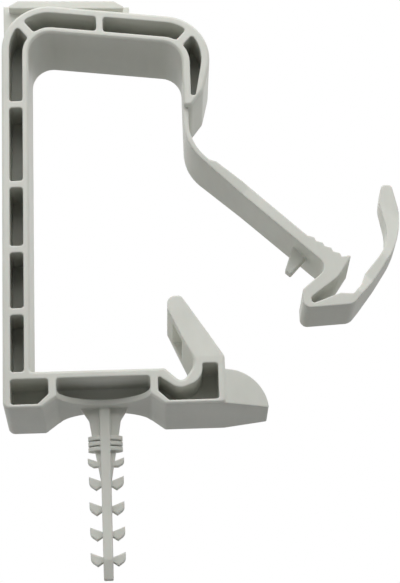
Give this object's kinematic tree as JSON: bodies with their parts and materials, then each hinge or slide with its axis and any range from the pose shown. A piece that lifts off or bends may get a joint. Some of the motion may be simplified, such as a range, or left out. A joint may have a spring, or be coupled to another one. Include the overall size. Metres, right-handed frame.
{
  "type": "cable bundle holder",
  "caption": "Plug-in holder for bundles of cables: a ribbed open frame on a barbed plug, closed by a flexible arm whose hook snaps over a catch.",
  "frame": {"origin": "the plug's axis, at the plane of the feet, in the middle of the depth", "axes": "+Z from the plug's tip up to the beam, +X from the column to the latch, +Y through the depth to the back"},
  "size_m": [0.0783, 0.0204, 0.118],
  "materials": {
    "grey_plastic": "light grey moulded plastic, fine satin texture"
  },
  "bodies": {
    "root": {"cable_bundle_holder": "grey_plastic"}
  },
  "joints": []
}
